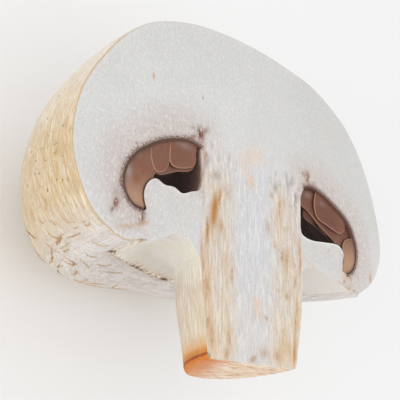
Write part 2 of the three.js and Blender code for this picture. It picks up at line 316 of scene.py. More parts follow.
def makeOutside():
    share = np.linspace(0, 1, outside["columns"])
    crowding = outside["crowding"]
    angles = math.pi * ((1 - crowding) * share + crowding * share ** 2)
    outlines = [lumps(bodyOutline(a), a) for a in angles]
    rows = len(outlines[0])
    grid = np.array([around(o, a) for o, a in zip(outlines, angles)])
    radius = np.array([o[:, 0] for o in outlines])
    height = np.array([o[:, 1] for o in outlines])
    along = np.concatenate([np.zeros((len(angles), 1)),
                            np.cumsum(np.hypot(np.diff(radius), np.diff(height)), axis=1)], 1)
    turned = np.repeat(angles[:, None], rows, 1)
    grain = np.stack([turned * 18, along, np.zeros_like(along)], 2)
    ends = np.cumsum([rowCounts[k] for k in ("cap", "margin", "lip", "veil", "side")])
    fromRim = along - along[:, ends[0]:ends[0] + 1]
    fromTorn = along - along[:, ends[1] + 1:ends[1] + 2]
    onCap = np.zeros(rows)
    onCap[:ends[1]] = 1

    # relief: shallow dents all over, fibrils brushed down the cap, and a rougher margin
    normal = np.cross(np.gradient(grid, axis=0), np.gradient(grid, axis=1))
    normal /= np.linalg.norm(normal, axis=2, keepdims=True) + 1e-12
    dents = roughness(grid.reshape(-1, 3), outside["dentSize"], 3.1).reshape(radius.shape)
    size = (*outside["fibrilSize"], 1)
    fibrils = roughness(grain.reshape(-1, 3), size, 7.7).reshape(radius.shape)
    nearMargin = smoothStep(-height, 5, 10) * onCap
    relief = outside["dents"] * (dents - 0.35) * smoothStep(radius, 2, 6) * onCap
    relief += outside["fibrils"] * fibrils * (0.6 + nearMargin) * smoothStep(radius, 3, 9)
    grid += normal * relief[:, :, None]
    grid[[0, -1], :, 2] = 0
    grid[:, 0] = grid[0, 0]
    grid[:, -1] = grid[0, -1]
    grid = keepWithin(grid)

    finish = np.full(rows - 1, finishes.index("capSkin"))
    finish[ends[1]:ends[4] + 2] = finishes.index("stemSkin")
    finish[ends[4] + 2:] = finishes.index("trimmedEnd")
    spots = sum(s * np.exp(-((turned - a) / w) ** 2) for a, w, s in outside["tornSpots"])
    dried = sum(s * np.exp(-((turned - a) / (3 * w)) ** 2) for a, w, s in outside["tornSpots"])
    seenLip = 0.5 * smoothStep(turned, 0.35, 0.8) - 0.25  # the side of the torn edge that shows
    crownShare = 1 - smoothStep(along, 23, 35)
    marginShare = smoothStep(fromRim, -6, 0.5) * onCap
    values = dict(
        grain=grain,
        stemGrain=np.stack([turned * 8, along, np.zeros_like(along)], 2),
        crownShare=crownShare, marginShare=marginShare,
        beltShare=1 - np.clip(crownShare + marginShare, 0, 1),
        fromTorn=fromTorn,
        tornSpots=np.clip(spots * np.exp(-((fromTorn - seenLip) / 0.45) ** 2), 0, 1),
        tornTan=np.clip(0.25 + dried, 0, 1) * np.exp(-((fromTorn - seenLip) / 0.8) ** 2),
        rim=np.minimum(turned, math.pi - turned) * np.maximum(radius, 0.01),
        veilShare=1 - smoothStep(-height, 11.6, 15.5),
        stemDown=smoothStep(-height, 13, 22),
        fromEnd=along[:, ends[4] + 1:ends[4] + 2] - along,
        leftShare=1 - smoothStep(turned, 0.5, 1.8), rightShare=smoothStep(turned, 1.6, 2.7),
        endRadius=radius / np.maximum(radius[:, ends[4] + 1:ends[4] + 2], 0.1),
    )
    values = {k: v.reshape(-1, 3) if v.ndim == 3 else v.ravel() for k, v in values.items()}
    region = dict(points=grid.reshape(-1, 3), faces=gridFaces(len(angles), rows),
                  finish=np.tile(finish, len(angles) - 1), values=values)
    return region, dict(grid=grid, angles=angles, fromRim=fromRim, normal=normal)


# scales and cracks of dried skin: width in mm, how dark, and its run as [angle in degrees, mm past the rim]
scales = dict(
    height=0.07, sunk=0.02, depth=0.12, wander=0.22,  # mm
    steps=9,
    runs=[
        (0.44, 0.75, [(38.4, -5.7), (33.5, -4.9), (31.3, -4.2), (28.9, -3.8)]),
        (0.26, 0.6, [(38.7, -4.6), (39, -4.1), (40.6, -3.1), (44.4, -2.4)]),
        (0.42, 0.6, [(15.5, -2.3), (18.8, -2.2), (22.2, -1.9)]),
        (0.28, 0.75, [(18.8, -2.2), (19.4, -1.8)]),
        (0.21, 0.6, [(15.3, -1.9), (12.1, -1.7), (8.7, -1.5)]),
        (0.26, 0.35, [(19.7, -3.6), (19.3, -2.6), (18, -2.5)]),
        (0.26, 0.3, [(15.3, -4.1), (14.5, -3.4), (14.5, -3.3)]),
        (0.32, 0.6, [(22.7, -1.1), (22.8, -0.8)]),
        (0.18, 0.5, [(22.5, -0.9), (19.3, -0.8)]),
        (0.26, 0.5, [(26, -2), (29.2, -1.8), (33.4, -1.5)]),
        (0.31, 0.8, [(31.3, -1.6), (35.2, -1.5)]),
        (0.23, 0.5, [(34.6, -1.5), (41.5, -1.8)]),
        (0.15, 0.26, [(25.8, -1.9), (25.7, -1.1)]),
        (0.36, 0.75, [(26.4, -0.7), (26.2, 0), (28.6, 0.7), (31.5, 0.6)]),
        (0.26, 0.5, [(29.5, -0.5), (29.6, 0.1), (30.7, 0.5)]),
        (0.31, 0.65, [(40.7, -0.9), (36.1, -0.6), (34.4, -0.2)]),
        (0.31, 0.6, [(43.2, -0.9), (51.8, -1.2), (50.8, -0.7)]),
        (0.29, 0.55, [(35.2, 1.1), (38, 1.2), (42.6, 0.8)]),
        (0.26, 0.3, [(51.7, 0.2), (55.5, 0.6), (49.8, 2)]),
        (0.36, 0.3, [(57.4, 0.2), (59, 1.5), (63.1, 2.2)]),
        (0.21, 0.4, [(73.9, 1.2), (72.1, 2.1), (70.3, 3)]),
        (0.21, 0.35, [(8.2, -0.4), (8.5, 0), (8.4, 0.6), (6.5, 1.2)]),
        (0.13, 0.3, [(9.8, -2.3), (7.5, -2.2)]),
        (0.21, 0.4, [(5.1, -2.6), (4.8, -1.9), (3.2, -2.2)]),
        (0.18, 0.3, [(15.3, -6.5), (14.5, -5.9), (14.4, -5.2)]),
        (0.23, 0.45, [(62.4, 0.2), (66.3, 0.6), (74.8, 0.3)]),
        (0.23, 0.4, [(72.5, 0.9), (77.7, 1.4), (84.9, 1.5)]),
        (0.18, 0.3, [(22.7, -1.4), (18.6, -1.3), (15.8, -1.3)]),
        (0.18, 0.3, [(25.9, -2.8), (25.6, -2.3), (26.8, -1.9)]),
        (0.16, 0.3, [(16.2, 0.4), (18.2, 1.3), (21.6, 2.5)]),
        (0.16, 0.25, [(29.2, 2.8), (37.1, 4), (43.4, 4.9)]),
        (0.16, 0.3, [(22, 0.7), (27.9, 1.8), (33.4, 2.3)]),
        (0.16, 0.25, [(20.3, -5.4), (20.2, -4.7), (18.8, -4.1)]),
        (0.16, 0.3, [(23, -6.4), (23.3, -5.6), (22.3, -4.8)]),
        (0.16, 0.25, [(47.1, 3.9), (55.6, 4.4), (61.2, 4.9)]),
        (0.16, 0.25, [(10.5, -3.9), (9.8, -3.3), (8.7, -2.9)]),
        (0.19, 0.68, [(3.8, -11.3), (3.3, -11.1)]),
        (0.17, 0.45, [(9.3, -11.2), (9, -11.1)]),
        (0.15, 0.45, [(6, -10), (5.3, -9.8)]),
        (0.15, 0.45, [(6.5, -9.2), (6.2, -9)]),
        (0.19, 0.6, [(16.1, -9.8), (15.3, -9.6)]),
        (0.15, 0.45, [(0.4, -10.5), (0.1, -10.3)]),
        (0.13, 0.38, [(3.7, -8.5), (3.5, -8.4)]),
        (0.28, 0.68, [(14.5, -8.4), (14, -8.3)]),
        (0.17, 0.52, [(16.7, -8.7), (16.4, -8.5)]),
        (0.24, 0.9, [(7.2, -6.9), (7.2, -6.8)]),
        (0.24, 0.6, [(22.7, -8.4), (22, -8.2)]),
        (0.15, 0.45, [(5.2, -6.6), (5, -6.5)]),
        (0.15, 0.45, [(8.3, -5.2), (8.3, -5.1)]),
        (0.15, 0.38, [(7.9, -4.5), (7.8, -4.4)]),
        (0.15, 0.45, [(29.8, -8.1), (28.9, -7.8)]),
        (0.13, 0.38, [(12.1, -13.3), (11.3, -13.1)]),
        (0.13, 0.38, [(12.3, -10.5), (11.6, -10.3)]),
        (0.13, 0.38, [(19.7, -11.3), (18.9, -11)]),
        (0.12, 0.38, [(2.9, -7.5), (2.8, -7.4)]),
    ],
)


def onOutside(body, angle, fromRim):
    # the point of the skin at that angle and that far past the rim, and which way it faces
    column = np.interp(math.radians(angle), body["angles"], np.arange(len(body["angles"])))
    low = int(min(column, len(body["angles"]) - 2))
    share = column - low
    found = []
    for key in ("grid", "normal"):
        sides = []
        for k in (low, low + 1):
            run, values = body["fromRim"][k], body[key][k]
            sides.append([np.interp(fromRim, run, values[:, axis]) for axis in range(3)])
        found.append(np.array(sides[0]) * (1 - share) + np.array(sides[1]) * share)
    return found


def makeScales(body):
    # each is a low ridge of three sides, pointed at both ends and sunk into the skin
    regions = []
    for index, (width, shade, run) in enumerate(scales["runs"]):
        path = smoothLine(run, scales["steps"]) if len(run) > 2 else np.linspace(run[0], run[1], 5)
        placed = [onOutside(body, *p) for p in path]
        spine = np.array([p[0] for p in placed])
        up = np.array([p[1] for p in placed])
        ahead = np.gradient(spine, axis=0)
        side = np.cross(up, ahead)
        side /= np.linalg.norm(side, axis=1, keepdims=True)
        swell = np.sqrt(np.sin(np.linspace(0.04, 0.96, len(path)) * math.pi))[:, None]
        steps = np.arange(len(path))
        swell *= 1 + 0.5 * roughness([(index * 3.3, k * 0.8, 0) for k in steps], 1)[:, None]
        wander = roughness([(index * 5.1, k * 1.3, 4) for k in steps], 1)[:, None]
        spine += side * wander * scales["wander"]
        half = side * width / 2 * swell
        ridge = spine + up * scales["height"] * swell
        foot = spine - up * scales["sunk"]
        section = np.stack([foot - half, ridge, foot + half, spine - up * scales["depth"]], 1)
        count = len(path)
        faces = [(k * 4 + a, k * 4 + (a + 1) % 4, k * 4 + 4 + (a + 1) % 4, k * 4 + 4 + a)
                 for k in range(count - 1) for a in range(4)]
        faces += [(3, 2, 1, 0), tuple(count * 4 - 4 + a for a in range(4))]
        points = keepWithin(section.reshape(-1, 3))
        shades = np.full(len(points), float(shade))
        regions.append(dict(points=points, faces=faces, finish=finishes.index("tornScale"),
                            values=dict(grain=points, shade=shades)))
    return regions


chamber = dict(columns=81, crowding=0.9)  # how much closer the columns stand at the cut


def makeChamber():
    share = np.linspace(0, 1, chamber["columns"])
    angles = math.pi * share - chamber["crowding"] * np.sin(2 * math.pi * share) / 2
    outlines = [chamberOutline(a) for a in angles]
    rows = len(outlines[0])
    closed = np.array([around(np.vstack([o, o[:1]]), a) for o, a in zip(outlines, angles)])
    closed[[0, -1], :, 2] = 0
    grain = closed.reshape(-1, 3)
    region = dict(points=grain, faces=gridFaces(len(angles), rows + 1), finish=finishes.index("chamberWall"),
                  values=dict(grain=grain, depth=-grain[:, 2]))
    return region, closed[:, :-1]


cutFace = dict(
    spacing=0.25,  # mm between points
    # three kinds of relief: how deep, and how large its lumps are, in mm
    felt=0.035, feltSize=0.55,
    fibres=0.11, fibreSize=(0.42, 3.2),
    crevices=0.3, creviceSize=(0.7, 1.3, 1),
    rings=[(0.6, -17.7, 1.1, 0.1)],  # faint dents: centre, radius and depth
    # stains as (x, y, half width, half height, turn in degrees, strength)
    # brown where the gills' tissue was bruised, and dark specks beside the left chamber
    brown=[
        (-8.7, -0.1, 0.6, 0.8, 0, 1.3), (-8.1, 0.4, 0.9, 0.4, 30, 0.7), (-9.6, 0.2, 0.6, 0.3, 0, 0.6),
        (-9.8, -0.7, 0.25, 0.6, -67, 1.2), (-7.8, -2.15, 0.22, 0.5, 6, 0.9),
        (-19.7, -9.6, 0.3, 0.6, -8, 1.3), (-19.2, -7.7, 0.28, 0.7, 6, 1.1),
        (-20.1, -10.3, 0.22, 0.3, -18, 0.9), (-19.6, -9, 0.7, 1, 10, 0.45),
        (-18.95, -7.4, 0.3, 1.5, 0, 0.5), (-17.4, -3.5, 0.14, 0.3, 0, 0.8),
        (-16.5, -10.3, 0.28, 0.5, -21, 1.5), (-7, -4, 0.22, 0.25, 0, 0.5), (7.3, -2.9, 0.22, 0.32, 0, 1),
        (4.5, -10.2, 0.15, 0.45, -7, 1), (6.8, -10.9, 0.2, 0.22, 0, 0.9), (5, -7.1, 0.2, 0.2, 18, 0.5),
        (-7.4, -21.8, 0.4, 0.25, 0, 1), (1.7, -17.2, 0.16, 0.24, 0, 1.2), (16.5, -11.2, 0.2, 0.2, 0, 1),
        (17.9, -10.7, 0.12, 0.4, 7, 0.8), (11, -11.8, 0.16, 0.14, 0, 0.8), (9.6, -0.2, 0.5, 0.8, 0, 1.2),
        (8.9, 0.1, 0.8, 0.4, -30, 0.6), (8.9, -1.4, 0.3, 0.5, -42, 0.7), (10.8, -0.7, 0.5, 0.25, 30, 0.6),
    ],
    # warm tan streaks down both sides of the stem, and along folds at the margin
    tan=[
        (-8.15, -3.8, 0.2, 2.2, 0, 0.8), (-8.05, -2.4, 0.2, 0.5, 0, 1), (-6.5, -7.5, 0.5, 2, -9, 1.3),
        (-5.7, -6, 0.22, 1.2, -15, 1.1), (-7.5, -9.7, 0.26, 1.6, 0, 1.2), (-5.5, -8.9, 0.4, 1.1, -3, 0.6),
        (-8.2, -6.6, 0.14, 1.8, 0, 0.5), (-8.4, -11.9, 0.22, 2, 2, 0.7), (-4.4, -5.3, 0.3, 0.8, 0, 0.45),
        (-5.3, -12.8, 0.14, 0.6, 0, 0.6), (-6.3, -10.4, 0.14, 0.4, 0, 0.6), (2.8, -3.8, 0.4, 0.4, 7, 0.5),
        (2.2, -7.5, 0.6, 0.9, 13, 0.4), (4.3, -5.2, 0.2, 1.1, -3, 0.8), (5.3, -10.3, 0.7, 0.9, 3, 0.5),
        (7.8, -9.2, 0.3, 2, -1, 0.7), (6.9, -7.7, 0.14, 1, 0, 0.6), (3.2, -9.3, 0.3, 0.6, -5, 0.5),
        (7.8, -2, 0.3, 0.3, 11, 0.6), (-8.1, -13.3, 0.24, 0.7, 4, 0.8), (-7.5, -15.3, 0.4, 1.2, 12, 0.55),
        (-7.4, -18.6, 0.3, 0.6, 0, 0.7), (-6.8, -20.1, 0.22, 1, 3, 0.8), (-3.8, -13.6, 0.14, 1.1, 0, 0.9),
        (-4.3, -19.9, 0.2, 0.7, 17, 0.7), (-4.6, -21.4, 0.4, 0.7, -8, 0.7),
        (-5.3, -12.4, 0.15, 0.5, 0, 0.9), (7.8, -10.6, 0.2, 1.2, -2, 0.9), (6.8, -12.8, 0.2, 0.6, -5, 0.8),
        (5.4, -14.5, 0.7, 0.4, 0, 0.5), (3.8, -14.1, 0.3, 0.3, -9, 0.5), (4.5, -18.4, 0.14, 0.4, -7, 0.6),
        (3.5, -21, 0.6, 0.8, 11, 0.6), (1.3, -20.9, 0.9, 0.6, 0, 0.5), (-0.6, -21.6, 0.3, 0.6, -63, 0.9),
        (6.9, -16.5, 0.2, 2.4, -8, 0.8), (6.4, -20.4, 0.22, 1.5, -6, 1), (13.4, -8.1, 0.24, 0.15, 0, 1),
        (22.3, -10, 0.2, 0.7, 8, 1), (13.7, -12.2, 0.3, 0.8, 79, 0.9), (14.4, -12.4, 0.3, 0.4, -84, 1),
        (15.6, -11.7, 0.2, 0.8, 75, 0.7), (17.7, -12.1, 0.2, 1.4, 84, 0.9),
        (-16.4, -10.8, 0.2, 1.1, 108, 0.7), (-18.1, -11.4, 0.24, 1.5, 102, 0.5),
        (-15.4, 3.9, 0.14, 0.36, 0, 1), (-8.4, 3.9, 0.12, 0.24, 0, 0.8), (-19.5, 6.7, 0.14, 0.25, 108, 0.8),
    ],
    # straw yellow bands where the stem has dried
    straw=[
        (-7.7, -15.2, 0.8, 4.2, 4, 0.9), (-6.9, -19.6, 0.7, 2, 8, 0.9), (-6.4, -7.5, 0.9, 3.2, -8, 0.6),
        (-4.6, -12.6, 0.6, 3.4, 0, 0.5), (-4.4, -19.6, 0.6, 1.8, 8, 0.7), (5.6, -11, 1.2, 2.6, 0, 0.6),
        (6.9, -16.6, 0.7, 3.6, -6, 0.6), (4.2, -6, 0.9, 3, 0, 0.5), (4.9, -20, 1.3, 1.3, 0, 0.8),
        (10.4, -10.9, 0.22, 2, 57, 0.7), (13.2, -12, 0.22, 1.6, 66, 0.7), (6.3, -20.8, 0.6, 1, 0, 0.8),
    ],
    # faint peach bruises in the middle
    peach=[
        (-0.7, -3.1, 0.8, 0.8, 0, 0.9), (-0.6, -0.4, 2.2, 1, 22, 0.6), (0.8, 0, 1.4, 0.9, 32, 0.4),
        (-1.5, -2, 1, 1.5, 0, 0.4), (0.1, -16.1, 0.6, 0.8, 10, 1), (0.6, -17, 1.2, 0.6, -20, 0.6),
        (9.7, -0.2, 1.2, 1, 0, 0.4), (17, -10.6, 1.6, 0.8, 0, 0.6), (-11.4, -9.8, 0.2, 0.4, 9, 0.5),
        (4.8, -21, 2.4, 0.7, 0, 0.6), (-6.2, -21.4, 1.4, 0.6, 0, 0.7),
    ],
)


def insideLoop(x, y, loop):
    inside = np.zeros(len(x), bool)
    for (x0, y0), (x1, y1) in zip(loop, np.roll(loop, -1, axis=0)):
        if y0 != y1:
            crosses = (y0 > y) != (y1 > y)
            inside ^= crosses & (x < (x1 - x0) * (y - y0) / (y1 - y0) + x0)
    return inside


def distanceTo(x, y, line, closed=True):
    nearest = np.full(len(x), 1e9)
    following = np.roll(line, -1, axis=0) if closed else line[1:]
    for (x0, y0), (x1, y1) in zip(line, following):
        dx, dy = x1 - x0, y1 - y0
        t = np.clip(((x - x0) * dx + (y - y0) * dy) / max(dx * dx + dy * dy, 1e-12), 0, 1)
        nearest = np.minimum(nearest, np.hypot(x - x0 - t * dx, y - y0 - t * dy))
    return nearest


def fillOutline(outer, holes, spacing, jitter):
    # evenly scattered points inside the outline, joined to it in triangles that face +z
    low, high = outer.min(0), outer.max(0)
    gx, gy = np.meshgrid(np.arange(low[0], high[0], spacing),
                         np.arange(low[1], high[1], spacing * math.sqrt(0.75)))
    gx = gx + (np.arange(len(gx)) % 2)[:, None] * spacing / 2
    random = np.random.default_rng(5)
    x = (gx + random.uniform(-jitter, jitter, gx.shape) * spacing).ravel()
    y = (gy + random.uniform(-jitter, jitter, gy.shape) * spacing).ravel()
    loops = [outer, *holes]
    keep = insideLoop(x, y, outer)
    for loop in holes:
        keep &= ~insideLoop(x, y, loop)
    x, y = x[keep], y[keep]
    clear = np.minimum.reduce([distanceTo(x, y, loop) for loop in loops]) > spacing * 0.6
    flat = np.vstack([*loops, np.stack([x[clear], y[clear]], 1)])
    edges, first = [], 0
    for loop in loops:
        count = len(loop)
        edges += [(first + k, first + (k + 1) % count) for k in range(count)]
        first += count
    cut = geometry.delaunay_2d_cdt([Vector(p) for p in flat], edges, [], 0, 1e-6)
    source = [original[0] for original in cut[3]]
    faces = [tuple(source[v] for v in face) for face in cut[2]]
    middle = np.array([flat[list(face)].mean(0) for face in faces])
    solid = insideLoop(middle[:, 0], middle[:, 1], outer)
    for loop in holes:
        solid &= ~insideLoop(middle[:, 0], middle[:, 1], loop)
    faces = [face for face, isSolid in zip(faces, solid) if isSolid]
    return flat, [f if turnsLeft(flat, f) else f[::-1] for f in faces]


def turnsLeft(flat, face):
    a, b, c = (flat[k] for k in face[:3])
    return (b[0] - a[0]) * (c[1] - a[1]) - (b[1] - a[1]) * (c[0] - a[0]) > 0


def makeCutFace(outsideGrid, chamberGrid):
    outer = np.vstack([outsideGrid[0], outsideGrid[-1][::-1][1:-1]])[:, :2]
    holes = [chamberGrid[0][:, :2], chamberGrid[-1][:, :2]]
    flat, faces = fillOutline(outer, holes, cutFace["spacing"], 0.3)
    x, y = flat.T
    rim = distanceTo(x, y, outer)
    hole = np.minimum(distanceTo(x, y, holes[0]), distanceTo(x, y, holes[1]))
    roots = [roofLine(0) * [-1, 1], roofLine(math.pi)]
    rootEdge = np.minimum.reduce([distanceTo(x, y, r, closed=False) for r in roots])
    stemHalf = 8.2 + 0.4 * np.sin(y * 1.1) + smoothStep(-y, 10.5, 13)
    fibrous = smoothStep(stemHalf - np.abs(x), -0.3, 0.7) * smoothStep(-y, -1.5, 2.5)
    grain = np.stack([x, y, np.zeros_like(x)], 1)
    felt = roughness(grain, cutFace["feltSize"], 11.3)
    fibres = roughness(grain, (*cutFace["fibreSize"], 1), 2.9)
    border = smoothStep(np.minimum(rim, hole), 0, 0.5)
    depth = cutFace["felt"] * (felt + 1) + cutFace["fibres"] * fibrous * (fibres + 0.6).clip(0)
    # torn threads leave small hollows where the stem spreads into the cap
    stemSide = fibrous * smoothStep(np.abs(x + 0.4), 1.8, 4.6)
    creviced = stemSide * (1 - smoothStep(-y, 3, 5.5))
    creviced *= smoothStep(roughness(grain, cutFace["creviceSize"], 7.7), 0.1, 0.6)
    depth += cutFace["crevices"] * creviced
    for cx, cy, radius, deep in cutFace["rings"]:
        depth += deep * np.exp(-((np.hypot(x - cx, y - cy) - radius) / 0.22) ** 2)
    points = np.stack([x, y, -depth * border], 1)
    below = smoothStep(-y, 5.8, 7.2) * smoothStep(16.2 - np.abs(x), -0.4, 0.8)  # the floor of the chambers
    onSkin = 1 - smoothStep(x, -18.4, -16.2) * smoothStep(-y, 7, 10)
    values = dict(
        grain=grain, rim=rim, rootEdge=rootEdge, fibrous=fibrous,
        stemSide=stemSide * (0.3 + 0.7 * smoothStep(-y, 1.5, 5)), creviced=creviced,
        stemLow=fibrous * smoothStep(-y, 10, 20),
        **{k: marks(cutFace[k], x, y) for k in ("brown", "tan", "straw", "peach")},
        bruised=(1 - smoothStep(hole, 0.4, 5)) * (1 - 0.75 * below),
        floorEdge=below * (1 - smoothStep(hole, 0.05, 0.32)),
        # painted shade: the cut face darker towards the right and the top, where the light falls off
        damp=smoothStep(x, 0, 13) * smoothStep(y, -9, 0) + smoothStep(y, 4, 10) * 0.5,
        skinLine=(0.12 + 0.88 * smoothStep(-x, 4, 17) * smoothStep(10 - y, 0, 6)) * onSkin,
    )
    return dict(points=points, faces=faces, finish=finishes.index("cutFlesh"), values=values)


gills = dict(
    count=118,            # blades in the half ring
    firstAngle=2.6,       # degrees from the cut to the first of them
    thickness=0.17,       # mm
    bed=(0.24, 0.2),      # mm of brown layer that the blades grow from, left and right
    bedGap=0.04, bedBehind=0.02,  # mm between that layer and the chamber's wall, and the cut face
    # how far along the gill, from the stem (0) to the tip in the margin (1), each of a run of blades starts
    starts=[0, 0.42, 0.24, 0.55, 0.08, 0.48, 0.3, 0.6],
    hang=0.16,            # how much the depth of neighbouring blades varies
    corner=0.055,         # how much of the gill the round corner takes where a blade starts
    waves=[(0.1, 9, 2.1), (0.07, 23, 1)],  # how wavy a blade hangs: mm, how often, and how unlike the next
    along=16, down=5,     # points on a blade
    bedColumns=97,
    # on the sliced blades, in mm: gap at the root, points' spacing, ripples and their size, rounded edge
    rootGap=0.06, plateSpacing=0.24, ripple=0.05, rippleSize=1.6, lip=0.07,
    # blades that the knife has cut through: side (0 left, 1 right), mm behind the cut face, and the free
    # edge from root to root
    sliced=[
        (0, 0.22, [(16.35, -9.6), (15.85, -9.15), (16.05, -8.2), (16.05, -7.6), (15.75, -7), (15.15, -6.4),
                   (14.75, -5.6), (14.75, -4.4), (15, -2.6)]),
        (0, 0.12, [(15.5, -2.8), (15.45, -3.4), (15.35, -4.35), (14.9, -5.3), (14.3, -5.47), (13.5, -5.1),
                   (13.08, -4.55), (12.93, -4), (12.98, -2.4), (13.02, -1.6)]),
        (0, 0.12, [(12.93, -1.6), (12.87, -2.6), (12.85, -3.95), (12.45, -4.32), (11.85, -4.38),
                   (10.65, -4.15), (9.6, -3.7), (9.17, -2.95), (9.25, -2.2), (9, -1.3)]),
        (0, 0.5, [(16.9, -4), (16.3, -5.8), (15.35, -6.1), (14.4, -5.5), (13.75, -5.5), (12.65, -5.1),
                  (11.45, -4.6), (9.55, -4.05), (8.9, -3.2), (8.8, -1.4)]),
        (1, 0.12, [(19, -5.5), (18.5, -5.72), (17.9, -5.85), (17.05, -6.35), (16.66, -7.15), (16.76, -8.65),
                   (16.35, -9.9), (16.6, -10.2), (17.2, -10.4)]),
        (1, 0.2, [(11.5, -1.3), (11.35, -1.9), (11.12, -2.9), (11.42, -4.15), (12.05, -4.65), (13.5, -5),
                  (15, -5.35), (16.35, -5.5), (17.25, -5), (17.45, -4.4), (17.5, -3.7)]),
        (1, 0.5, [(8.9, -1.5), (8.6, -2.5), (8.7, -3.3), (10.3, -4), (12.2, -5.1), (14.15, -6),
                  (15.65, -6.7), (17, -7.5), (17.25, -9), (17.3, -10.3)]),
        (1, 0.9, [(9, -1.5), (8.8, -3), (10.4, -3.9), (12.6, -5), (14, -5.85), (15.5, -6.6), (16.8, -7.9),
                  (17.1, -10.2)]),
    ],
    # stains on those, like the cut face's: rust red, turned brown on the left with a painted shade over the
    # right chamber, and dusted grey with a painted sheen on the left blade
    rusty=[
        (-17.1, -6.7, 0.6, 0.55, 0, 0.9), (-16.2, -5.6, 0.7, 0.6, 20, 0.7), (-14, -4.7, 0.5, 0.5, 0, 0.6),
        (-9.4, -2.5, 0.4, 0.9, 0, 0.6), (-12.4, -2.4, 0.25, 0.9, 0, 0.5), (16.6, -5, 0.7, 0.5, -30, 0.9),
        (9.4, -3.2, 0.5, 0.5, 0, 0.6),
    ],
    # darker patches: turned brown on the left, and a painted shade over the right chamber's blades
    browned=[(13.5, -4, 5, 3, -30, 0.9), (-12, -3, 2.6, 1.6, 0, 0.45)],
    # dusted grey, and on the left blade a painted sheen
    dusty=[
        (-18.2, -6.2, 0.45, 0.7, 0, 1.2), (-17.2, -4.2, 0.6, 0.4, 0, 0.6), (-11, -1.9, 1, 0.3, 0, 0.5),
        (10.2, -2, 0.8, 0.4, 0, 0.7), (12.6, -2.6, 0.5, 0.3, 0, 0.4),
    ],
)


def gillLines(angle):
    deepening = across(shape["gillDeepening"], angle)
    root = roofLine(angle, 60)
    edge = smoothLine(shape["gillEdge"], 60)
    edge[:, 1] -= deepening * smoothStep(shape["gillEdge"][-1][0] - edge[:, 0], 0, 1.6)
    return root, edge


def tipShare(radius, height):
    # 1 where a gill runs down into the margin
    return smoothStep(-height, 5.2, 9.2) * smoothStep(radius, 14.5, 16.5)


def makeBlade(angle, start, hang, seed):
    # a thin plate from its root to its free edge, with a round corner where it starts
    root, edge = gillLines(angle)
    t = start + (1 - start) * (1 - np.cos(np.linspace(0, math.pi, gills["along"]))) / 2
    place = t * (len(root) - 1)
    pick = np.arange(len(root))
    rootRun = np.stack([np.interp(place, pick, root[:, k]) for k in (0, 1)], 1)
    edgeRun = np.stack([np.interp(place, pick, edge[:, k]) for k in (0, 1)], 1)
    full = hang * np.sqrt(1 - (1 - np.clip((t - start) / gills["corner"], 0, 1)) ** 2)
    v = np.linspace(0, 1, gills["down"])
    sheet = rootRun[:, None] + (edgeRun - rootRun)[:, None] * (full[:, None] * v)[:, :, None]
    wave = sum(high * np.sin(t * often + seed * shift)[:, None] * v for high, often, shift in gills["waves"])
    radius, height = sheet[:, :, 0], sheet[:, :, 1]
    sides = []
    for side in (-0.5, 0.5):
        sideways = side * gills["thickness"] * (1 - 0.5 * v ** 3)[None, :] + wave
        x = -radius * math.cos(angle) + sideways * math.sin(angle)
        z = -radius * math.sin(angle) - sideways * math.cos(angle)
        sides.append(np.stack([x, height, z], 2).reshape(-1, 3))
    n, m = sheet.shape[:2]
    faces = []
    for i in range(n - 1):
        for k in range(m - 1):
            a = i * m + k
            faces.append((a, a + 1, a + m + 1, a + m))
            faces.append((a + n * m + m, a + n * m + m + 1, a + n * m + 1, a + n * m))
    ring = [i * m for i in range(n)] + [(n - 1) * m + k for k in range(1, m)]
    ring += [i * m + m - 1 for i in range(n - 2, -1, -1)] + list(range(m - 2, 0, -1))
    faces += [(b, a, a + n * m, b + n * m) for a, b in zip(ring, ring[1:] + ring[:1])]
    span = np.linalg.norm(edgeRun - rootRun, axis=1)[:, None]
    nearEnd = np.repeat((t - start)[:, None], m, 1) * 16
    toEdge = np.minimum((1 - v)[None, :] * span, nearEnd)
    points = np.concatenate(sides)
    twice = [np.tile(k.ravel(), 2) for k in (radius, height, toEdge, v[None, :] * span)]
    values = dict(
        grain=np.stack([twice[0], twice[1], np.full(2 * n * m, seed * 3.7)], 1),
        edge=twice[2], root=twice[3], tip=tipShare(twice[0], twice[1]), depth=-points[:, 2],
    )
    return dict(points=points, faces=faces, finish=0, values=values)


